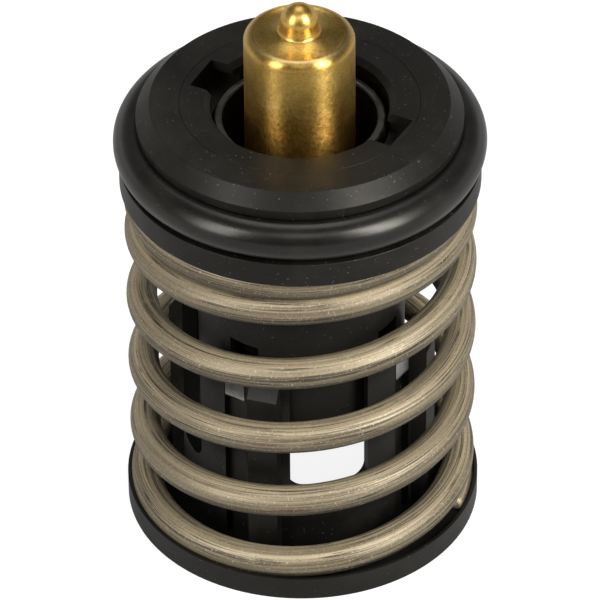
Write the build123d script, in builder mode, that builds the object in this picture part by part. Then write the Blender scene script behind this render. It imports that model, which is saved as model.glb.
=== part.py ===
from build123d import *
import os
from math import cos, pi, radians, sin

os.makedirs("parts", exist_ok=True)

# Engine thermostat, cartridge type: a wax capsule stands in a plastic cage, and a flange with a
# guide tube slides down over it against one coil spring.
# Millimetres. The valve axis is Z and the origin is the centre of the base ring's lower face.

# Fits
seat_gap = 0.03               # fixed round seats, such as the tube in the flange
running_gap = 0.05            # piston in its guide
slide_gap = 0.4               # guide tube in the cage, seal round the sleeve's path
seal_gap = 0.08               # inner seal on the metal sleeve
arm_gap = 0.8                 # carrier arm in the tube slot, each side
pocket_gap = 0.15             # carrier arm and tab in the cage, each side

# Guide tube
tube_radius = 15.8
tube_bore_radius = 13.4
tube_bottom = 24.5
head_radius = 18.0
head_height = 5.5
bore_bevel = 0.85             # at the top of the bore
foot_bevel = 0.3
joint_edge = 0.1              # rounded outer edge of the head, beside the flange
notch_width = 7.1             # the two notches that a key turns
notch_depth = 4.4
notch_angle = -42.4
notch_land = 0.85             # rim left outside the notch
far_notch_turn = 182.5        # angle from the first notch to the second
far_notch_land = 1.45         # rim left outside the second notch
notch_plate = 1.6             # thickness that a notch is cut through before it widens
notch_undercut = 1.4          # each side
slot_top_margin = 0.7         # slot end above the arm at full travel
seal_groove_bottom = 46.0
seal_groove_height = 2.4
seal_groove_depth = 0.9
seal_edge = 0.4

# Flange ring
rim_radius = 27.2
rim_height = 4.0
rim_edge = 0.15
spring_seat_height = 60.6     # underside of the rim
pilot_radius = 21.5           # collar that centres the spring
pilot_height = 3.1
lip_radius = 24.5
lip_height = 3.67
lip_bevel = 2.05
lip_bevel_height = 2.2
o_ring_radius = 28.0          # outside
o_ring_section = 6.2

# Spring
wire_diameter = 4.7
coil_radius = 24.3            # to the middle of the wire
active_turns = 4.0
lower_closed_turns = 0.79
upper_closed_turns = 1.36
closed_coil_gap = 0.06
first_coil_pitch = 2.8        # the first coil lies nearly flat on its seat
ground_tip = 2.3              # thickness left at the ground wire ends
wire_start_angle = -35.2
pitch_blend = 0.08            # half the change-over between pitches, in turns
points_per_turn = 16

# Cage
base_radius = 27.25
base_height = 3.95
base_lip = 0.5
base_seat_depth = 1.35
base_edge = 0.15
cage_wall = 2.2
cage_height = 35.7
leg_count = 4
window_angle = 38.6
window_sill = 13.7
window_corner = 2.3
groove_offset = -2.2          # angle of the groove from the middle of its leg
groove_depth = 1.3
lead_in = 0.7                 # taper at the top of the bore
lead_in_height = 3.2
rib_offset = 14.25            # angle of the rib from the middle of its leg
rib_width = 4.6
rib_radius = 20.6
rib_top = 32.8                # outer edge of its sloping top

# Carrier
carrier_sheet = 1.2
carrier_underside = 29.4
arm_width = 3.5
hub_radius = 8.2
tab_inset = 0.05              # tab's outer face inside the cage's outer face
tab_bend = 1.0

# Metal sleeve
sleeve_radius = 12.95
sleeve_wall = 1.4
sleeve_depth = 2.7            # top of the sleeve below the top of the flange
sleeve_bottom = 28.7
sleeve_edge = 0.45

# Wax capsule
capsule_radius = 8.28
capsule_wall = 1.1
capsule_rise = 12.8           # shoulder of the capsule above the top of the flange
capsule_bottom = 42.0
capsule_shoulder = 1.3
crimp_height = 0.9
crimp_reach = 1.2
nipple_height = 4.6
nipple_radius = 2.8           # of its round top
nipple_foot_radius = 3.55
guide_flange_height = 4.2
neck_radius = 5.0
neck_collar_radius = 6.9
neck_collar_height = 1.6
neck_bottom = 27.6
ring_groove_depth = 0.7
ring_thickness = 1.0
ring_radius = 6.4
ring_opening_angle = 40.0
piston_radius = 3.0
piston_top = 60.0
piston_edge = 0.4
boot_wall = 1.1
boot_flange_height = 1.2
washer_thickness = 0.8
washer_radius = 4.6

# Piston bridge
bridge_sheet = 1.5
bridge_underside = 25.3
bridge_width = 5.0
bridge_hub_radius = 5.6
bridge_cup_depth = 0.5
bridge_inset = 0.9            # arm ends inside the tube's outer face

# Travel of the flange and tube from cold to fully open
travel = 7.6

# Worked out from the sizes above
cage_bore = tube_radius + slide_gap
cage_radius = cage_bore + cage_wall
base_seat = base_height - base_seat_depth
leg_spacing = 360 / leg_count
leg_angle = leg_spacing / 2
arm_angle = leg_angle + groove_offset
carrier_top = carrier_underside + carrier_sheet
slot_width = arm_width + 2 * arm_gap
slot_top = carrier_top + travel + slot_top_margin
groove_width = arm_width + 2 * pocket_gap
rim_top = spring_seat_height + rim_height
o_ring_wire = o_ring_section / 2
o_ring_middle = o_ring_radius - o_ring_wire
groove_floor = o_ring_radius - o_ring_section - seat_gap
lip_underside = rim_top + o_ring_section + seat_gap
flange_top = lip_underside + lip_height
lip_shoulder = flange_top - lip_bevel_height
tube_top = flange_top
head_underside = tube_top - head_height
sleeve_top = flange_top - sleeve_depth
capsule_top = flange_top + capsule_rise
nipple_top = capsule_top + nipple_height
bridge_top = bridge_underside + bridge_sheet
bridge_reach = tube_radius - bridge_inset
piston_bottom = bridge_top - bridge_cup_depth
guide_bottom = capsule_bottom + crimp_height
guide_top = guide_bottom + guide_flange_height
capsule_bore = capsule_radius - capsule_wall
boot_top = guide_top + boot_flange_height

# Cage: base ring, wall, four legs between open windows, one rib and one groove on each leg
with BuildPart() as cage:
    with BuildSketch(Plane.XZ):
        with BuildLine():
            Polyline(
                (cage_bore, 0),
                (base_radius, 0),
                (base_radius, base_height),
                (base_radius - base_lip, base_height),
                (base_radius - base_lip, base_seat),
                (cage_radius, base_seat),
                (cage_radius, cage_height),
                (cage_bore + lead_in, cage_height),
                (cage_bore, cage_height - lead_in_height),
                close=True,
            )
        make_face()
    revolve(axis=Axis.Z)
    foot_circles = cage.edges().filter_by(GeomType.CIRCLE).group_by(Axis.Z)[0]
    chamfer(foot_circles.sort_by(SortBy.RADIUS)[-1], base_edge)
    for step in range(leg_count):
        rib_plane = Plane.XZ.rotated((0, 0, leg_angle + rib_offset + step * leg_spacing))
        with BuildSketch(rib_plane):
            with BuildLine():
                Polyline(
                    (cage_radius - cage_wall / 2, base_seat),
                    (rib_radius, base_seat),
                    (rib_radius, rib_top),
                    (cage_radius, cage_height),
                    (cage_radius - cage_wall / 2, cage_height),
                    close=True,
                )
            make_face()
        extrude(amount=rib_width / 2, both=True)
    window_width = 2 * cage_radius * sin(radians(window_angle / 2))
    for step in range(leg_count):
        window_plane = Plane.XZ.rotated((0, 0, step * leg_spacing))
        with BuildSketch(window_plane):
            with Locations((0, window_sill + cage_height / 2)):
                RectangleRounded(window_width, cage_height, window_corner)
        extrude(amount=base_radius, mode=Mode.SUBTRACT)
    with BuildSketch(Plane.XY.offset(base_seat)):
        with PolarLocations(0, leg_count, arm_angle):
            with Locations((cage_radius, 0)):
                Rectangle(2 * groove_depth, groove_width)
    extrude(amount=cage_height - base_seat, mode=Mode.SUBTRACT)
    with BuildSketch(Plane.XY.offset(carrier_underside)):
        with PolarLocations(0, leg_count, arm_angle):
            with Locations((cage_radius, 0)):
                Rectangle(4 * cage_wall, groove_width)
    extrude(amount=carrier_sheet + seat_gap, mode=Mode.SUBTRACT)
cage.part.label = "cage"
export_step(cage.part, "parts/cage.step")

# Spring: one wire, closed and ground flat at both ends
wire_radius = wire_diameter / 2
closed_pitch = wire_diameter + closed_coil_gap
wire_start = base_seat + ground_tip - wire_radius
wire_end = spring_seat_height - ground_tip + wire_radius
spring_turns = lower_closed_turns + active_turns + upper_closed_turns
closed_rise = lower_closed_turns * first_coil_pitch + upper_closed_turns * closed_pitch
active_pitch = (wire_end - wire_start - closed_rise) / active_turns


def eased(turns):
    """Zero before the change-over, the turns past it afterwards, and a parabola in between."""
    if turns < -pitch_blend:
        return 0
    if turns > pitch_blend:
        return turns
    return (turns + pitch_blend) ** 2 / (4 * pitch_blend)


def wire_point(turn):
    """The middle of the wire after so many turns from the lower end."""
    opening = (active_pitch - first_coil_pitch) * eased(turn - lower_closed_turns)
    closing = (active_pitch - closed_pitch) * eased(turn - lower_closed_turns - active_turns)
    height = wire_start + first_coil_pitch * turn + opening - closing
    angle = radians(wire_start_angle) + 2 * pi * turn
    return (coil_radius * cos(angle), coil_radius * sin(angle), height)


with BuildPart() as spring:
    point_count = round(spring_turns * points_per_turn)
    with BuildLine() as wire_path:
        Spline([wire_point(spring_turns * step / point_count) for step in range(point_count + 1)])
    with BuildSketch(Plane(origin=wire_path.line @ 0, z_dir=wire_path.line % 0)):
        Circle(wire_radius)
    sweep(path=wire_path.line, is_frenet=True)
    split(bisect_by=Plane.XY.offset(base_seat), keep=Keep.TOP)
    split(bisect_by=Plane.XY.offset(spring_seat_height), keep=Keep.BOTTOM)
spring.part.label = "spring"
export_step(spring.part, "parts/spring.step")

# Flange ring: rim, O-ring groove, bevelled lip, flat top, counterbore for the tube's head
with BuildPart() as flange_ring:
    with BuildSketch(Plane.XZ):
        with BuildLine():
            Polyline(
                (tube_radius + seat_gap, spring_seat_height - pilot_height),
                (pilot_radius, spring_seat_height - pilot_height),
                (pilot_radius, spring_seat_height),
                (rim_radius, spring_seat_height),
                (rim_radius, rim_top),
                (groove_floor, rim_top),
                (groove_floor, lip_underside),
                (lip_radius, lip_underside),
                (lip_radius, lip_shoulder),
                (lip_radius - lip_bevel, flange_top),
                (head_radius + seat_gap, flange_top),
                (head_radius + seat_gap, head_underside),
                (tube_radius + seat_gap, head_underside),
                close=True,
            )
        make_face()
    revolve(axis=Axis.Z)
    rim_circles = flange_ring.edges().filter_by(GeomType.CIRCLE).filter_by(
        lambda edge: abs(edge.radius - rim_radius) < seat_gap
    )
    fillet(rim_circles, rim_edge)
flange_ring.part.label = "flange_ring"
export_step(flange_ring.part, "parts/flange_ring.step")

# O-ring
with BuildPart() as o_ring:
    with BuildSketch(Plane.XZ):
        with Locations((o_ring_middle, rim_top + o_ring_wire)):
            Circle(o_ring_wire)
    revolve(axis=Axis.Z)
o_ring.part.label = "o_ring"
export_step(o_ring.part, "parts/o_ring.step")

# Guide tube: flush head with two key notches, seal groove, arm slots, pockets for the bridge
bridge_angle = arm_angle + leg_spacing / 2
with BuildPart() as guide_tube:
    with BuildSketch(Plane.XZ):
        with BuildLine():
            Polyline(
                (tube_bore_radius, tube_bottom),
                (tube_radius, tube_bottom),
                (tube_radius, head_underside),
                (head_radius, head_underside),
                (head_radius, tube_top),
                (tube_bore_radius, tube_top),
                (tube_bore_radius, seal_groove_bottom + seal_groove_height),
                (tube_bore_radius + seal_groove_depth, seal_groove_bottom + seal_groove_height),
                (tube_bore_radius + seal_groove_depth, seal_groove_bottom),
                (tube_bore_radius, seal_groove_bottom),
                close=True,
            )
        make_face()
    revolve(axis=Axis.Z)
    top_circles = guide_tube.edges().filter_by(GeomType.CIRCLE).group_by(Axis.Z)[-1]
    chamfer(top_circles.sort_by(SortBy.RADIUS)[0], bore_bevel)
    top_circles = guide_tube.edges().filter_by(GeomType.CIRCLE).group_by(Axis.Z)[-1]
    fillet(top_circles.sort_by(SortBy.RADIUS)[-1], joint_edge)
    foot_circles = guide_tube.edges().filter_by(GeomType.CIRCLE).group_by(Axis.Z)[0]
    chamfer(foot_circles.sort_by(SortBy.RADIUS)[-1], foot_bevel)
    for turn, land in ((0, notch_land), (far_notch_turn, far_notch_land)):
        reach = head_radius - land
        with BuildSketch(Plane.XY.rotated((0, 0, notch_angle + turn)).offset(tube_top)):
            with Locations((reach / 2, 0)):
                Rectangle(reach, notch_width)
        extrude(amount=-notch_depth, mode=Mode.SUBTRACT)
        with BuildSketch(Plane.XY.rotated((0, 0, notch_angle + turn)).offset(tube_top - notch_plate)):
            with Locations((reach / 2, 0)):
                Rectangle(reach, notch_width + 2 * notch_undercut)
        extrude(amount=notch_plate - notch_depth, mode=Mode.SUBTRACT)
    with BuildSketch(Plane.XY.offset(tube_bottom)):
        with PolarLocations(0, leg_count, arm_angle):
            with Locations((tube_radius, 0)):
                Rectangle(2 * (tube_radius - sleeve_radius), slot_width)
    extrude(amount=slot_top - tube_bottom, mode=Mode.SUBTRACT)
    with BuildSketch(Plane.XY.offset(bridge_underside)):
        with PolarLocations(0, leg_count, bridge_angle):
            with Locations(((bridge_reach + seat_gap) / 2, 0)):
                Rectangle(bridge_reach + seat_gap, bridge_width + 2 * seat_gap)
    extrude(amount=bridge_sheet, mode=Mode.SUBTRACT)
guide_tube.part.label = "guide_tube"
export_step(guide_tube.part, "parts/guide_tube.step")

# Seal between the guide tube and the metal sleeve
seal_inner_radius = sleeve_radius + seal_gap
seal_outer_radius = tube_bore_radius + seal_groove_depth - seat_gap
seal_middle = (seal_inner_radius + seal_outer_radius) / 2
with BuildPart() as sleeve_seal:
    with BuildSketch(Plane.XZ):
        with Locations((seal_middle, seal_groove_bottom + seal_groove_height / 2)):
            RectangleRounded(seal_outer_radius - seal_inner_radius, seal_groove_height, seal_edge)
    revolve(axis=Axis.Z)
sleeve_seal.part.label = "sleeve_seal"
export_step(sleeve_seal.part, "parts/sleeve_seal.step")

# Carrier: hub, four arms out through the tube slots and the legs, tabs turned up in the grooves
tab_face = cage_radius - tab_inset
with BuildPart() as carrier:
    with BuildSketch(Plane.XY.offset(carrier_underside)):
        Circle(hub_radius)
        with PolarLocations(0, leg_count, arm_angle):
            with Locations((tab_face / 2, 0)):
                Rectangle(tab_face, arm_width)
        Circle(neck_radius + seat_gap, mode=Mode.SUBTRACT)
    extrude(amount=carrier_sheet)
    with BuildSketch(Plane.XY.offset(carrier_top)):
        with PolarLocations(0, leg_count, arm_angle):
            with Locations((tab_face - carrier_sheet / 2, 0)):
                Rectangle(carrier_sheet, arm_width)
    extrude(amount=cage_height - carrier_top)
    lower_edges = carrier.edges().filter_by(GeomType.LINE).group_by(Axis.Z)[0]
    tip_edges = lower_edges.filter_by(
        lambda edge: Vector(edge.center().X, edge.center().Y).length > tab_face - tab_inset
    )
    fillet(tip_edges, tab_bend)
carrier.part.label = "carrier"
export_step(carrier.part, "parts/carrier.step")

# Metal sleeve, notched where it stands over the carrier's arms
with BuildPart() as valve_sleeve:
    with BuildSketch(Plane.XZ):
        with Locations((sleeve_radius - sleeve_wall / 2, (sleeve_top + sleeve_bottom) / 2)):
            Rectangle(sleeve_wall, sleeve_top - sleeve_bottom)
    revolve(axis=Axis.Z)
    fillet(valve_sleeve.edges().filter_by(GeomType.CIRCLE).group_by(Axis.Z)[-1], sleeve_edge)
    with BuildSketch(Plane.XY.offset(sleeve_bottom)):
        with PolarLocations(0, leg_count, arm_angle):
            with Locations((sleeve_radius, 0)):
                Rectangle(4 * sleeve_wall, arm_width + 2 * seat_gap)
    extrude(amount=carrier_top - sleeve_bottom, mode=Mode.SUBTRACT)
valve_sleeve.part.label = "valve_sleeve"
export_step(valve_sleeve.part, "parts/valve_sleeve.step")

# Brass cup of the wax capsule: closed top with a nipple, mouth crimped under the guide's flange
nipple_shoulder = nipple_top - nipple_radius
with BuildPart() as capsule_cup:
    with BuildSketch(Plane.XZ):
        with BuildLine():
            l1 = Polyline(
                (0, capsule_top - 2 * capsule_wall),
                (capsule_bore, capsule_top - 2 * capsule_wall),
                (capsule_bore, guide_bottom),
                (capsule_bore - crimp_reach, guide_bottom),
                (capsule_bore - crimp_reach, capsule_bottom),
                (capsule_radius, capsule_bottom),
                (capsule_radius, capsule_top - capsule_shoulder),
            )
            l2 = RadiusArc(l1 @ 1, (capsule_radius - capsule_shoulder, capsule_top), -capsule_shoulder)
            l3 = Line(l2 @ 1, (nipple_foot_radius, capsule_top))
            l4 = Spline(
                [l3 @ 1, (nipple_radius, nipple_shoulder)],
                tangents=[(-1, 1), (0, 1)],
            )
            l5 = RadiusArc(l4 @ 1, (0, nipple_top), -nipple_radius)
            Line(l5 @ 1, l1 @ 0)
        make_face()
    revolve(axis=Axis.Z)
capsule_cup.part.label = "capsule_cup"
export_step(capsule_cup.part, "parts/capsule_cup.step")

# Brass guide: flange in the cup's mouth, collar on the carrier's hub, neck with a ring groove
ring_top = carrier_underside
ring_bottom = ring_top - ring_thickness
with BuildPart() as capsule_guide:
    with BuildSketch(Plane.XZ):
        with BuildLine():
            Polyline(
                (piston_radius + running_gap, neck_bottom),
                (neck_radius, neck_bottom),
                (neck_radius, ring_bottom),
                (neck_radius - ring_groove_depth, ring_bottom),
                (neck_radius - ring_groove_depth, ring_top),
                (neck_radius, ring_top),
                (neck_radius, carrier_top),
                (neck_collar_radius, carrier_top),
                (neck_collar_radius, carrier_top + neck_collar_height),
                (neck_radius, carrier_top + neck_collar_height),
                (neck_radius, guide_bottom),
                (capsule_bore - seat_gap, guide_bottom),
                (capsule_bore - seat_gap, guide_top),
                (piston_radius + running_gap, guide_top),
                close=True,
            )
        make_face()
    revolve(axis=Axis.Z)
capsule_guide.part.label = "capsule_guide"
export_step(capsule_guide.part, "parts/capsule_guide.step")

# Open ring snapped into the neck's groove under the hub
with BuildPart() as retaining_ring:
    with BuildSketch(Plane.XY.offset(ring_bottom)):
        Circle(ring_radius)
        Circle(neck_radius - ring_groove_depth + seat_gap, mode=Mode.SUBTRACT)
        with BuildLine():
            opening_edge = PolarLine((0, 0), 2 * ring_radius, angle=-ring_opening_angle / 2)
            other_edge = PolarLine((0, 0), 2 * ring_radius, angle=ring_opening_angle / 2)
            Line(opening_edge @ 1, other_edge @ 1)
        make_face(mode=Mode.SUBTRACT)
    extrude(amount=ring_thickness)
retaining_ring.part.label = "retaining_ring"
export_step(retaining_ring.part, "parts/retaining_ring.step")

# Washer that keeps the boot out of the guide's bore
with BuildPart() as backup_washer:
    with BuildSketch(Plane.XY.offset(guide_top)):
        Circle(washer_radius)
        Circle(piston_radius + running_gap, mode=Mode.SUBTRACT)
    extrude(amount=washer_thickness)
backup_washer.part.label = "backup_washer"
export_step(backup_washer.part, "parts/backup_washer.step")

# Rubber boot round the piston, its flange clamped between the guide and the wax
boot_bore = piston_radius + running_gap
boot_crown = piston_top + running_gap
with BuildPart() as rubber_boot:
    with BuildSketch(Plane.XZ):
        with BuildLine():
            Polyline(
                (0, boot_crown),
                (boot_bore, boot_crown),
                (boot_bore, guide_top + washer_thickness),
                (washer_radius + seat_gap, guide_top + washer_thickness),
                (washer_radius + seat_gap, guide_top),
                (capsule_bore - seat_gap, guide_top),
                (capsule_bore - seat_gap, boot_top),
                (washer_radius + boot_wall, boot_top),
                (boot_bore + boot_wall, boot_top + 2 * boot_wall),
                (boot_bore + boot_wall, boot_crown),
                (boot_bore, boot_crown + boot_wall),
                (0, boot_crown + boot_wall),
                close=True,
            )
        make_face()
    revolve(axis=Axis.Z)
rubber_boot.part.label = "rubber_boot"
export_step(rubber_boot.part, "parts/rubber_boot.step")

# Wax that fills the cup round the boot
with BuildPart() as wax_charge:
    with BuildSketch(Plane.XZ):
        with BuildLine():
            Polyline(
                (0, boot_crown + boot_wall + seat_gap),
                (boot_bore + seat_gap, boot_crown + boot_wall + seat_gap),
                (boot_bore + boot_wall + seat_gap, boot_crown + seat_gap),
                (boot_bore + boot_wall + seat_gap, boot_top + 2 * boot_wall),
                (washer_radius + boot_wall + seat_gap, boot_top),
                (capsule_bore - seat_gap, boot_top),
                (capsule_bore - seat_gap, capsule_top - 2 * capsule_wall),
                (0, capsule_top - 2 * capsule_wall),
                close=True,
            )
        make_face()
    revolve(axis=Axis.Z)
wax_charge.part.label = "wax_charge"
export_step(wax_charge.part, "parts/wax_charge.step")

# Steel piston
with BuildPart() as piston:
    with BuildSketch(Plane.XY.offset(piston_bottom)):
        Circle(piston_radius)
    extrude(amount=piston_top - piston_bottom)
    chamfer(piston.edges().filter_by(GeomType.CIRCLE), piston_edge)
piston.part.label = "piston"
export_step(piston.part, "parts/piston.step")

# Bridge across the tube's lower end, with a dished seat for the piston
with BuildPart() as piston_bridge:
    with BuildSketch(Plane.XY.offset(bridge_underside)):
        Circle(bridge_hub_radius)
        with PolarLocations(0, leg_count, bridge_angle):
            with Locations((bridge_reach / 2, 0)):
                Rectangle(bridge_reach, bridge_width)
    extrude(amount=bridge_sheet)
    with BuildSketch(Plane.XY.offset(bridge_top)):
        Circle(piston_radius + seat_gap)
    extrude(amount=-bridge_cup_depth, mode=Mode.SUBTRACT)
    with BuildSketch(Plane.XY.offset(bridge_underside)):
        Circle(piston_radius)
    extrude(amount=-bridge_cup_depth)
piston_bridge.part.label = "piston_bridge"
export_step(piston_bridge.part, "parts/piston_bridge.step")
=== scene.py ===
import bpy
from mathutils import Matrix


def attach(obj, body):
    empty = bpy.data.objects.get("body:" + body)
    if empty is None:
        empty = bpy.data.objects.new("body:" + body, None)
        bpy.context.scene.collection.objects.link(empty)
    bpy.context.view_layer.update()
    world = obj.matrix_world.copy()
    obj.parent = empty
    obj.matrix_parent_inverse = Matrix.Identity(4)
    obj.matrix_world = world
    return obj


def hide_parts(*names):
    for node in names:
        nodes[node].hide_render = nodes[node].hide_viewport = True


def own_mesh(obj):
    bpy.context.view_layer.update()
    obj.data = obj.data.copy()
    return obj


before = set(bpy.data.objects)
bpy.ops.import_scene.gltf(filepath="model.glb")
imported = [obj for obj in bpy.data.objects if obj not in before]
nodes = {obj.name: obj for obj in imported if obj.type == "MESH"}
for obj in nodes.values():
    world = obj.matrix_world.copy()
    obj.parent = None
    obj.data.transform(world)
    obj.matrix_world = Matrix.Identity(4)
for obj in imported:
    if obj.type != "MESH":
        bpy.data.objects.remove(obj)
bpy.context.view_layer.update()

from math import cos, pi, radians, sin, tan

import bpy
from mathutils import Matrix, Vector

MM = 0.001
scene = bpy.context.scene

# ---------------------------------------------------------------- sizes shared with the solids (mm)
TUBE_R = 15.8
HEAD_R = 18.0
HEAD_H = 5.5
FLANGE_TOP = 74.5
RIM_R = 27.2
RIM_H = 4.0
SPRING_SEAT = 60.6
PILOT_R = 21.5
PILOT_H = 3.1
LIP_R = 24.5
LIP_BEVEL = 2.05
LIP_BEVEL_H = 2.2
O_RING_R = 28.0
O_RING_D = 6.2
SEAT_GAP = 0.03
WIRE_D = 4.7
COIL_R = 24.3
ACTIVE_TURNS = 4.0
LOWER_TURNS = 0.79
UPPER_TURNS = 1.36
CLOSED_GAP = 0.06
FIRST_PITCH = 2.8
GROUND_TIP = 2.3
WIRE_START = -35.2                       # degrees
PITCH_BLEND = 0.08                       # turns
BASE_SEAT = 2.6
CAPSULE_R = 8.28
CAPSULE_WALL = 1.1
CAPSULE_TOP = 87.3
CAPSULE_BOTTOM = 42.0
SHOULDER = 1.3
CRIMP_H = 0.9
CRIMP_REACH = 1.2
NIPPLE_TOP = 91.9
NIPPLE_R = 2.8

# ---------------------------------------------------------------- sizes that only the looks have (mm)
SHARP = 0
MOULDED_EDGE = 0.15
LIP_EDGE = 0.12
BEVEL_EDGE = 0.18
JOINT_EDGE = 0.06
GROOVE_EDGE = 0.2
PILOT_EDGE = 0.4
MOUTH_EDGE = 0.2
FOOT_EDGE = 0.6
O_RING_INSET = 0.02
RIDGE_H = 0.04
RIDGE_AT = -42                           # degrees, from the O-ring's outermost line
RIDGE_HALF = 4                           # degrees
NIPPLE_FLARE = [                         # radius, height over the capsule's end
    (3.30, 0.0), (3.19, 0.06), (3.10, 0.16), (3.02, 0.32), (2.95, 0.54),
    (2.89, 0.82), (2.85, 1.10), (2.82, 1.36), (2.803, 1.60),
]
END_EDGE = 0.05                          # how far the capsule's end brass reaches down its shoulder
GLOW_REACH = 5.5                         # how far over the flange the painted warm glow reaches

# ---------------------------------------------------------------- fineness of the meshes
ON_AXIS = 1e-6                           # mm
LATHE_STEPS = 256
ARC_STEPS = 6
ARC_SUPPORT = 0.15                       # distance of an arc's support points, as a share of its radius
CAPSULE_STEPS = 12
DOME_STEPS = 24
O_RING_STEPS = 72
WIRE_SIDES = 48
WIRE_STEPS = 110                         # in one turn
WIRE_NUDGE = 1e-4                        # turns, to find the wire's direction
WIRE_SCALE = 0.012                       # the stored wire coordinate of one millimetre of wire

# ---------------------------------------------------------------- camera, fitted to the photo
CAMERA_TURN = radians(-13.4)
CAMERA_TILT = radians(38.24)
CAMERA_ROLL = radians(-0.47)
CAMERA_DISTANCE = 900.0
CAMERA_RIGHT = -0.185
CAMERA_UP = -2.54
AIM_HEIGHT = 40.0
FOCAL_PX = 5909.0
IMAGE_PX = 600
SENSOR = 36


def make_camera():
    forward = Vector((0, cos(CAMERA_TILT), -sin(CAMERA_TILT)))
    right = Vector((1, 0, 0))
    up = right.cross(forward)
    right, up = (
        right * cos(CAMERA_ROLL) + up * sin(CAMERA_ROLL),
        up * cos(CAMERA_ROLL) - right * sin(CAMERA_ROLL),
    )
    place = Vector((0, 0, AIM_HEIGHT)) - forward * CAMERA_DISTANCE
    place += right * CAMERA_RIGHT + up * CAMERA_UP
    axes = Matrix((right, up, -forward)).transposed().to_4x4()
    data = bpy.data.cameras.new("camera")
    data.lens = FOCAL_PX / IMAGE_PX * SENSOR
    data.sensor_width = SENSOR
    data.clip_start = 0.05
    data.clip_end = 20
    camera = bpy.data.objects.new("camera", data)
    scene.collection.objects.link(camera)
    turn = Matrix.Rotation(CAMERA_TURN, 4, "Z")
    camera.matrix_world = turn @ Matrix.Translation(place * MM) @ axes
    scene.camera = camera


make_camera()


# ---------------------------------------------------------------- mesh helpers
def rounded(corners, steps=ARC_STEPS):
    """A closed outline from (radius, height, rounding) corners, with support points by each arc."""
    points = []
    count = len(corners)
    for i, (r, z, rounding) in enumerate(corners):
        here = Vector((r, z))
        if rounding == SHARP:
            points.append((r, z))
            continue
        before = (Vector(corners[i - 1][:2]) - here).normalized()
        after = (Vector(corners[(i + 1) % count][:2]) - here).normalized()
        half = before.angle(after) / 2
        reach = rounding / tan(half)
        middle = here + (before + after).normalized() * (rounding / sin(half))
        first = here + before * reach
        last = here + after * reach
        points.append(tuple(first + before * rounding * ARC_SUPPORT))
        start = first - middle
        sweep = start.angle_signed(last - middle)
        for k in range(steps + 1):
            a = -sweep * k / steps
            points.append((middle.x + start.x * cos(a) - start.y * sin(a),
                           middle.y + start.x * sin(a) + start.y * cos(a)))
        points.append(tuple(last + after * rounding * ARC_SUPPORT))
    return points


def mesh_object(name, verts, faces, smooth=True):
    """A new object from points in millimetres."""
    mesh = bpy.data.meshes.new(name)
    mesh.from_pydata([tuple(c * MM for c in v) for v in verts], [], faces)
    mesh.update()
    if smooth:
        mesh.shade_smooth()
    piece = bpy.data.objects.new(name, mesh)
    scene.collection.objects.link(piece)
    return piece


def lathe(name, outline):
    """Turns a closed (radius, height) outline round the Z axis; a point on the axis is one vertex."""
    verts, rings = [], []
    for r, z in outline:
        if abs(r) < ON_AXIS:
            rings.append([len(verts)] * LATHE_STEPS)
            verts.append((0, 0, z))
            continue
        rings.append(list(range(len(verts), len(verts) + LATHE_STEPS)))
        for k in range(LATHE_STEPS):
            a = 2 * pi * k / LATHE_STEPS
            verts.append((r * cos(a), r * sin(a), z))
    faces = []
    for i, a in enumerate(rings):
        b = rings[(i + 1) % len(rings)]
        for k in range(LATHE_STEPS):
            n = (k + 1) % LATHE_STEPS
            face = [a[k], a[n], b[n], b[k]]
            face = [v for j, v in enumerate(face) if v != face[j - 1]]
            if len(face) > 2:
                faces.append(face)
    return mesh_object(name, verts, faces)


# ---------------------------------------------------------------- node helpers
class Nodes:
    """Short names for building the node tree of a material or a world."""

    def __init__(self, owner):
        owner.use_nodes = True
        self.owner = owner
        self.tree = owner.node_tree

    def feed(self, socket, value):
        """Links an output to a socket, or sets a constant there; a colour is three numbers."""
        if isinstance(value, bpy.types.NodeSocket):
            self.tree.links.new(value, socket)
        elif socket.type == "RGBA":
            socket.default_value = (*value, 1)
        else:
            socket.default_value = value

    def add(self, kind, inputs=None, **settings):
        node = self.tree.nodes.new(kind)
        for key, value in settings.items():
            setattr(node, key, value)
        for key, value in (inputs or {}).items():
            self.feed(node.inputs[key], value)
        return node

    def place(self, scale=(1, 1, 1)):
        """The object's own coordinates, in metres, times the scale."""
        coords = self.add("ShaderNodeTexCoord")
        mapping = self.add("ShaderNodeMapping", {"Vector": coords.outputs["Object"], "Scale": scale})
        return mapping.outputs["Vector"]

    def part(self, vector, axis):
        return self.add("ShaderNodeSeparateXYZ", {0: vector}).outputs[axis]

    def noise(self, vector, scale, detail, rough=0.5):
        """Noise with about scale cells to one unit of the vector."""
        node = self.add("ShaderNodeTexNoise", {
            "Vector": vector, "Scale": scale, "Detail": detail, "Roughness": rough,
        })
        return node.outputs["Fac"]

    def ramp(self, value, stops):
        """A ramp through (position, colour) stops; a colour may be one number, for a grey."""
        node = self.add("ShaderNodeValToRGB", {"Fac": value})
        band = node.color_ramp
        while len(band.elements) < len(stops):
            band.elements.new(0.5)
        for element, (at, colour) in zip(band.elements, stops):
            element.position = at
            element.color = (*colour, 1) if isinstance(colour, tuple) else (colour, colour, colour, 1)
        return node.outputs["Color"]

    def mix(self, fac, a, b, mode="MIX"):
        node = self.add("ShaderNodeMix", {0: fac, 6: a, 7: b}, data_type="RGBA", blend_type=mode)
        return node.outputs[2]

    def math(self, op, *values):
        return self.add("ShaderNodeMath", dict(enumerate(values)), operation=op).outputs[0]

    def vector_math(self, op, output, *values):
        node = self.add("ShaderNodeVectorMath", dict(enumerate(values)), operation=op)
        return node.outputs[output]

    def unit(self, value):
        """Takes -1..1 to 0..1."""
        return self.math("MULTIPLY_ADD", value, 0.5, 0.5)

    def bump(self, height, distance, strength, under=None):
        inputs = {"Height": height, "Distance": distance, "Strength": strength}
        if under is not None:
            inputs["Normal"] = under
        return self.add("ShaderNodeBump", inputs).outputs["Normal"]


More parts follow.
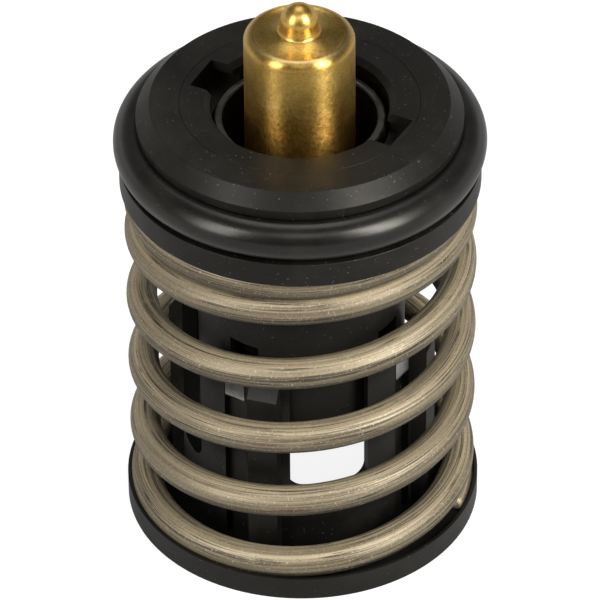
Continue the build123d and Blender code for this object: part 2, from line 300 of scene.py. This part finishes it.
class Surface(Nodes):
    """A new material and its shader."""

    def __init__(self, name):
        super().__init__(bpy.data.materials.new(name))
        self.shader = self.tree.nodes["Principled BSDF"]

    def finish(self, inputs):
        for key, value in inputs.items():
            self.feed(self.shader.inputs[key], value)
        return self.owner


# ---------------------------------------------------------------- materials
FILM = (0.032, 0.029, 0.024)
DUST = (0.15, 0.142, 0.128)
# Painted highlight: the pale colour of a ring round the capsule's shoulder.
SHOULDER_HIGHLIGHT = (0.96, 0.74, 0.36)
PALE_SPECK = (0.72, 0.64, 0.50)
DARK_SPECK = (0.12, 0.085, 0.05)


def plastic(name, base, roughness, specks=0.6, specular=0.4):
    """Moulded plastic or rubber: a cloudy tone, a thin dull film and specks of dust."""
    m = Surface(name)
    at = m.place()
    cloud = m.noise(at, 90, 5, 0.6)
    film = m.ramp(m.noise(at, 55, 6, 0.65), [(0.48, 0.0), (0.72, 0.42)])
    dust = m.ramp(m.noise(at, 2300, 2), [(0.69, 0.0), (0.76, specks)])
    dark = tuple(c * 0.7 for c in base)
    light = tuple(c * 1.25 for c in base)
    body = m.mix(film, m.ramp(cloud, [(0.3, dark), (0.75, light)]), FILM)
    return m.finish({
        "Base Color": m.mix(dust, body, DUST),
        "Roughness": m.ramp(cloud, [(0.3, roughness - 0.05), (0.7, roughness + 0.07)]),
        "Normal": m.bump(m.noise(at, 2600, 3), 0.012 * MM, 0.5),
        "IOR": 1.5,
        "Specular IOR Level": specular,
        "Specular Tint": (1.0, 0.95, 0.86),
    })


def metal(name, base, dark, roughness):
    """Sheet metal with duller blotches."""
    m = Surface(name)
    at = m.place()
    fine = m.noise(at, 900, 4, 0.6)
    blotch = m.ramp(m.noise(at, 260, 5, 0.65), [(0.38, 0.0), (0.62, 1.0)])
    return m.finish({
        "Base Color": m.mix(blotch, dark, base),
        "Roughness": m.ramp(fine, [(0.3, roughness - 0.06), (0.7, roughness + 0.08)]),
        "Normal": m.bump(fine, 0.01 * MM, 0.6),
        "Metallic": 1.0,
    })


def brushed_brass(name, turned):
    """Tarnished brass, with a painted warm glow just over the flange and a painted highlight round the
    capsule's shoulder.

    Turned faces spread each highlight along the axis. Roughness stays at 0.29 or more: below
    about 0.27 the denoiser leaves dark dots.
    """
    m = Surface(name)
    at = m.place()
    fine = m.noise(at, 1700, 3, 0.6)
    tarnish = m.noise(at, 170, 4, 0.55)
    bright = m.ramp(tarnish, [(0.30, (0.62, 0.37, 0.08)), (0.68, (0.88, 0.585, 0.16))])
    # Painted glow: just over the flange the brass is painted a warmer, darker orange, as reflected
    # light.
    painted_glow = m.ramp(tarnish, [(0.30, (0.66, 0.35, 0.065)), (0.68, (0.88, 0.49, 0.105))])
    low = m.add("ShaderNodeMapRange", {
        "Value": m.part(at, "Z"),
        "From Min": (FLANGE_TOP + GLOW_REACH) * MM,
        "From Max": FLANGE_TOP * MM,
    }, interpolation_type="SMOOTHSTEP")
    grain = m.ramp(m.noise(m.place((1, 1, 2.2)), 2600, 3, 0.6), [(0.34, 0.72), (0.60, 1.0)])
    tone = m.mix(1.0, m.mix(low.outputs["Result"], bright, painted_glow), grain, "MULTIPLY")
    radius = m.vector_math("LENGTH", "Value", m.place((1, 1, 0)))
    # Painted highlight: a pale ring round the top edge of the capsule's shoulder.
    painted_highlight = m.ramp(m.math("DIVIDE", radius, CAPSULE_R * MM),
                  [(0.845, 0.0), (0.875, 0.6), (0.900, 0.5), (0.955, 0.0)])
    inputs = {
        "Base Color": m.mix(painted_highlight, tone, SHOULDER_HIGHLIGHT),
        "Roughness": m.ramp(fine, [(0.3, 0.29), (0.7, 0.40)]),
        "Metallic": 1.0,
    }
    if turned:
        turning = m.noise(m.place((1, 1, 14)), 260, 4, 0.6)
        tangent = m.add("ShaderNodeTangent", direction_type="RADIAL", axis="Z")
        inputs["Normal"] = m.bump(turning, 0.01 * MM, 0.6, m.bump(fine, 0.012 * MM, 0.9))
        inputs["Anisotropic"] = 0.85
        inputs["Anisotropic Rotation"] = 0.25
        inputs["Tangent"] = tangent.outputs[0]
    else:
        inputs["Normal"] = m.bump(fine, 0.012 * MM, 0.8)
    return m.finish(inputs)


def drawn_wire(name):
    """Drawn wire: bands and thin dark lines run along it, in the coordinates stored on its mesh, and
    shade is painted on its lower side.
    """
    m = Surface(name)
    wire = m.add("ShaderNodeAttribute", attribute_name="wire").outputs["Vector"]
    drawn = m.vector_math("MULTIPLY", "Vector", wire, (1, 1, 0.35))      # streaks longer than wide
    bands = m.noise(drawn, 5.0, 5, 0.6)
    fine = m.noise(wire, 26.0, 4, 0.6)
    at = m.place()
    patch = m.noise(at, 90, 3, 0.6)
    grit = m.noise(at, 3000, 2)
    tone = m.ramp(bands, [
        (0.30, (0.15, 0.11, 0.06)), (0.46, (0.38, 0.305, 0.19)), (0.70, (0.57, 0.475, 0.31)),
    ])
    # Two sets of dark lines where a noise is near its middle value, broken up by the patches.
    for scale, first in ((3.4, 0.40), (5.2, 0.34)):
        line = m.ramp(m.noise(drawn, scale, 1.5),
                      [(0.474, 1.0), (0.491, 0.28), (0.503, 0.28), (0.520, 1.0)])
        broken = m.ramp(patch, [(first, 0.0), (first + 0.1, 1.0)])
        tone = m.mix(broken, tone, m.mix(1.0, tone, line, "MULTIPLY"))
    under = m.unit(m.part(wire, "Y"))        # 0 on the wire's upper side, 1 on its lower side
    # Painted shade: the wire is painted darker towards its lower side.
    shade = m.ramp(under, [(0.08, 1.0), (0.18, 0.68), (0.50, 0.52), (0.80, 0.13)])
    tone = m.mix(1.0, tone, shade, "MULTIPLY")
    tone = m.mix(m.ramp(grit, [(0.60, 0.0), (0.76, 0.45)]), tone, PALE_SPECK)
    tone = m.mix(m.ramp(grit, [(0.28, 0.5), (0.40, 0.0)]), tone, DARK_SPECK)
    streaks = m.math("ADD", bands, m.math("MULTIPLY", fine, 0.5))
    return m.finish({
        "Base Color": tone,
        "Roughness": m.ramp(fine, [(0.3, 0.44), (0.7, 0.56)]),
        "Normal": m.bump(streaks, 0.05 * MM, 0.7, m.bump(grit, 0.01 * MM, 0.5)),
        "Metallic": 0.4,
    })


flange_plastic = plastic("flange_plastic", (0.0054, 0.0050, 0.0040), 0.42, 0.6, 0.25)
cage_plastic = plastic("cage_plastic", (0.0058, 0.0055, 0.0046), 0.45, 0.5, 0.32)
rubber = plastic("seal_rubber", (0.0045, 0.0044, 0.0040), 0.29, 0.3, 0.47)
sheet_steel = metal("sheet_steel", (0.50, 0.49, 0.47), (0.36, 0.35, 0.33), 0.32)
sleeve_steel = metal("sleeve_steel", (0.15, 0.145, 0.125), (0.09, 0.085, 0.072), 0.34)
brass = brushed_brass("capsule_brass", True)
end_brass = brushed_brass("capsule_end_brass", False)
wire_steel = drawn_wire("spring_wire_steel")
wax = plastic("copper_wax", (0.55, 0.36, 0.18), 0.55)
white_plastic = plastic("fluoropolymer", (0.80, 0.80, 0.78), 0.5, 0.1)


def dress(piece, material):
    """Gives a piece one material."""
    piece.data.materials.clear()
    piece.data.materials.append(material)


# ---------------------------------------------------------------- flange ring
rim_top = SPRING_SEAT + RIM_H
groove_floor = O_RING_R - O_RING_D - SEAT_GAP
lip_under = rim_top + O_RING_D + SEAT_GAP
head_under = FLANGE_TOP - HEAD_H

flange = lathe("flange_body", rounded([
    (TUBE_R + SEAT_GAP, SPRING_SEAT - PILOT_H, SHARP),
    (PILOT_R, SPRING_SEAT - PILOT_H, PILOT_EDGE),
    (PILOT_R, SPRING_SEAT, MOULDED_EDGE),
    (RIM_R, SPRING_SEAT, MOULDED_EDGE),
    (RIM_R, rim_top, MOULDED_EDGE),
    (groove_floor, rim_top, GROOVE_EDGE),
    (groove_floor, lip_under, GROOVE_EDGE),
    (LIP_R, lip_under, LIP_EDGE),
    (LIP_R, FLANGE_TOP - LIP_BEVEL_H, MOULDED_EDGE),
    (LIP_R - LIP_BEVEL, FLANGE_TOP, BEVEL_EDGE),
    (HEAD_R + SEAT_GAP, FLANGE_TOP, JOINT_EDGE),
    (HEAD_R + SEAT_GAP, head_under, SHARP),
    (TUBE_R + SEAT_GAP, head_under, SHARP),
]))
dress(flange, flange_plastic)
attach(flange, "flange_unit")
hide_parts("flange_ring")


# ---------------------------------------------------------------- O-ring
def o_ring_outline():
    """The ring's round section, with the fine parting ridge of its mould."""
    middle = O_RING_R - O_RING_D / 2
    points = []
    for k in range(O_RING_STEPS):
        a = 2 * pi * k / O_RING_STEPS
        away = abs((a - radians(RIDGE_AT) + pi) % (2 * pi) - pi)
        ridge = RIDGE_H * max(0.0, 1 - away / radians(RIDGE_HALF))
        r = O_RING_D / 2 - O_RING_INSET + ridge
        points.append((middle + r * cos(a), rim_top + O_RING_D / 2 + r * sin(a)))
    return points


o_ring = lathe("sealing_ring", o_ring_outline())
dress(o_ring, rubber)
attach(o_ring, "flange_unit")
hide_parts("o_ring")


# ---------------------------------------------------------------- wax capsule
def capsule_outline():
    """The cup's inside, its crimped mouth, its wall and shoulder, and the nipple."""
    roof = CAPSULE_TOP - 2 * CAPSULE_WALL
    bore = CAPSULE_R - CAPSULE_WALL
    guide_bottom = CAPSULE_BOTTOM + CRIMP_H
    cup = rounded([
        (0, roof, SHARP),
        (bore, roof, SHARP),
        (bore, guide_bottom, SHARP),
        (bore - CRIMP_REACH, guide_bottom, SHARP),
        (bore - CRIMP_REACH, CAPSULE_BOTTOM, MOUTH_EDGE),
        (CAPSULE_R, CAPSULE_BOTTOM, FOOT_EDGE),
        (CAPSULE_R, CAPSULE_TOP, SHOULDER),
    ], CAPSULE_STEPS)
    flare = [(r, CAPSULE_TOP + h) for r, h in NIPPLE_FLARE]
    ball = NIPPLE_TOP - NIPPLE_R
    angles = [pi / 2 * k / DOME_STEPS for k in range(DOME_STEPS)]
    dome = [(NIPPLE_R * cos(a), ball + NIPPLE_R * sin(a)) for a in angles]
    return cup + flare + dome + [(0, NIPPLE_TOP)]


capsule = lathe("brass_capsule", capsule_outline())
dress(capsule, brass)
capsule.data.materials.append(end_brass)
for face in capsule.data.polygons:
    face.material_index = int(face.center.z > (CAPSULE_TOP - END_EDGE) * MM)
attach(capsule, "cage_unit")
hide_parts("capsule_cup")

# ---------------------------------------------------------------- spring
wire_low = BASE_SEAT + GROUND_TIP - WIRE_D / 2
wire_high = SPRING_SEAT - GROUND_TIP + WIRE_D / 2
closed_pitch = WIRE_D + CLOSED_GAP
spring_turns = LOWER_TURNS + ACTIVE_TURNS + UPPER_TURNS
closed_rise = LOWER_TURNS * FIRST_PITCH + UPPER_TURNS * closed_pitch
active_pitch = (wire_high - wire_low - closed_rise) / ACTIVE_TURNS


def eased(turns):
    """Nothing before 0 and the turns after it, with a smooth bend between."""
    if turns < -PITCH_BLEND:
        return 0
    if turns > PITCH_BLEND:
        return turns
    return (turns + PITCH_BLEND) ** 2 / (4 * PITCH_BLEND)


def wire_point(turn):
    opening = (active_pitch - FIRST_PITCH) * eased(turn - LOWER_TURNS)
    closing = (active_pitch - closed_pitch) * eased(turn - LOWER_TURNS - ACTIVE_TURNS)
    height = wire_low + FIRST_PITCH * turn + opening - closing
    a = radians(WIRE_START) + 2 * pi * turn
    return Vector((COIL_R * cos(a), COIL_R * sin(a), height))


def make_spring():
    """The wire as a tube, its ends ground flat on the seats, with its own coordinates stored."""
    steps = round(spring_turns * WIRE_STEPS)
    verts, wire, faces = [], [], []
    for i in range(steps + 1):
        turn = spring_turns * i / steps
        here = wire_point(turn)
        ahead = (wire_point(turn + WIRE_NUDGE) - wire_point(turn - WIRE_NUDGE)).normalized()
        out = Vector((here.x, here.y, 0)).normalized()
        out = (out - ahead * out.dot(ahead)).normalized()
        side = ahead.cross(out)
        for k in range(WIRE_SIDES):
            a = 2 * pi * k / WIRE_SIDES
            point = here + (out * cos(a) + side * sin(a)) * (WIRE_D / 2)
            point.z = min(max(point.z, BASE_SEAT), SPRING_SEAT)
            verts.append(point)
            wire.append((cos(a), sin(a), turn * 2 * pi * COIL_R * WIRE_SCALE))
    for i in range(steps):
        low, high = i * WIRE_SIDES, (i + 1) * WIRE_SIDES
        for k in range(WIRE_SIDES):
            n = (k + 1) % WIRE_SIDES
            faces.append([low + n, low + k, high + k, high + n])
    faces.append(list(range(WIRE_SIDES)))
    faces.append([steps * WIRE_SIDES + k for k in reversed(range(WIRE_SIDES))])
    piece = mesh_object("spring_wire", verts, faces)
    attribute = piece.data.attributes.new("wire", "FLOAT_VECTOR", "POINT")
    attribute.data.foreach_set("vector", [c for w in wire for c in w])
    return piece


spring = make_spring()
dress(spring, wire_steel)
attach(spring, "cage_unit")
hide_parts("spring")
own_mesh(spring)

# ---------------------------------------------------------------- solids kept from the frame
for name, material in {
    "cage": cage_plastic,
    "guide_tube": flange_plastic,
    "sleeve_seal": rubber,
    "rubber_boot": rubber,
    "carrier": sheet_steel,
    "piston_bridge": sheet_steel,
    "valve_sleeve": sleeve_steel,
    "retaining_ring": sheet_steel,
    "piston": sheet_steel,
    "capsule_guide": brass,
    "wax_charge": wax,
    "backup_washer": white_plastic,
}.items():
    dress(nodes[name], material)

# ---------------------------------------------------------------- floor, world and lamps
FLOOR_HALF = 3000                        # mm
FLOOR_LIT = (0.36, 0.36, 0.36)           # what lights the part
FLOOR_SEEN = (0.22, 0.22, 0.22)          # what takes the shadow, under the glow
FLOOR_GLOW = 0.88
FLOOR_IN_GLOSS = 0.3

# World brightness by height, from 0 straight down through 0.5 level to 1 straight up.
SKY_CAMERA_SIDE = [(0.0, 0.3), (0.5, 0.10), (0.7, 0.10), (1.0, 0.2)]
SKY_FAR_SIDE = [(0.0, 0.7), (0.5, 0.95), (0.57, 0.75), (0.66, 0.22), (0.75, 0.08), (1.0, 0.2)]
SKY_BLEND = [(0.35, 0.0), (0.65, 1.0)]

LAMP_AIM = (0, 0, 0.05)                  # metres, near the part's middle
LAMP_DISTANCE = 1.0                      # metres
LAMPS = [
    # name, azimuth from the camera to the right, elevation, width, height, watts
    ("left_box", -50, 29, 0.30, 0.8, 6.4),
    ("right_box", 50, 33, 0.26, 0.75, 12.5),
    ("front_box", 0, 54, 0.38, 0.38, 0.8),
    ("top_box", 180, 70, 0.5, 0.5, 1.6),
]


def make_floor():
    """White to the camera, with the part's shadow on it, and plain grey to the light."""
    half = FLOOR_HALF
    corners = [(-half, -half, 0), (half, -half, 0), (half, half, 0), (-half, half, 0)]
    floor = mesh_object("floor", corners, [[0, 1, 2, 3]], smooth=False)
    m = Nodes(bpy.data.materials.new("floor_white"))
    m.tree.nodes.remove(m.tree.nodes["Principled BSDF"])
    path = m.add("ShaderNodeLightPath")
    glossy = m.math("MULTIPLY", path.outputs["Is Glossy Ray"], FLOOR_IN_GLOSS)
    seen = m.math("MAXIMUM", m.math("MAXIMUM", path.outputs["Is Camera Ray"], glossy),
                  path.outputs["Is Transmission Ray"])
    plain = m.add("ShaderNodeBsdfDiffuse", {"Color": FLOOR_LIT})
    shade = m.add("ShaderNodeBsdfDiffuse", {"Color": FLOOR_SEEN})
    glow = m.add("ShaderNodeEmission", {"Color": (1, 1, 1), "Strength": FLOOR_GLOW})
    both = m.add("ShaderNodeAddShader", {0: shade.outputs[0], 1: glow.outputs[0]})
    mix = m.add("ShaderNodeMixShader", {0: seen, 1: plain.outputs[0], 2: both.outputs[0]})
    m.feed(m.tree.nodes["Material Output"].inputs["Surface"], mix.outputs[0])
    dress(floor, m.owner)


def make_world():
    """White to the camera; a pale far side and a dim camera side for light and reflections."""
    m = Nodes(bpy.data.worlds.new("studio"))
    scene.world = m.owner
    path = m.add("ShaderNodeLightPath")
    direction = m.add("ShaderNodeTexCoord").outputs["Generated"]
    height = m.unit(m.part(direction, "Z"))
    to_camera = (sin(CAMERA_TURN), -cos(CAMERA_TURN), 0)
    side = m.unit(m.vector_math("DOT_PRODUCT", "Value", direction, to_camera))
    far, near = m.ramp(height, SKY_FAR_SIDE), m.ramp(height, SKY_CAMERA_SIDE)
    studio = m.mix(m.ramp(side, SKY_BLEND), far, near)
    sky = m.mix(path.outputs["Is Camera Ray"], studio, (1.0, 1.0, 1.0))
    m.feed(m.tree.nodes["Background"].inputs["Color"], sky)


def softbox(name, azimuth, elevation, width, height, watts):
    """A lamp aimed at the part, out of the camera's sight."""
    data = bpy.data.lights.new(name, "AREA")
    data.shape = "RECTANGLE"
    data.size = width
    data.size_y = height
    data.energy = watts
    lamp = bpy.data.objects.new(name, data)
    scene.collection.objects.link(lamp)
    turn = radians(azimuth - 90) + CAMERA_TURN
    tilt = radians(elevation)
    away = Vector((cos(turn) * cos(tilt), sin(turn) * cos(tilt), sin(tilt)))
    lamp.location = Vector(LAMP_AIM) + away * LAMP_DISTANCE
    lamp.rotation_euler = away.to_track_quat("Z", "Y").to_euler()
    lamp.visible_camera = False


make_floor()
make_world()
for lamp in LAMPS:
    softbox(*lamp)

scene.view_settings.view_transform = "Standard"
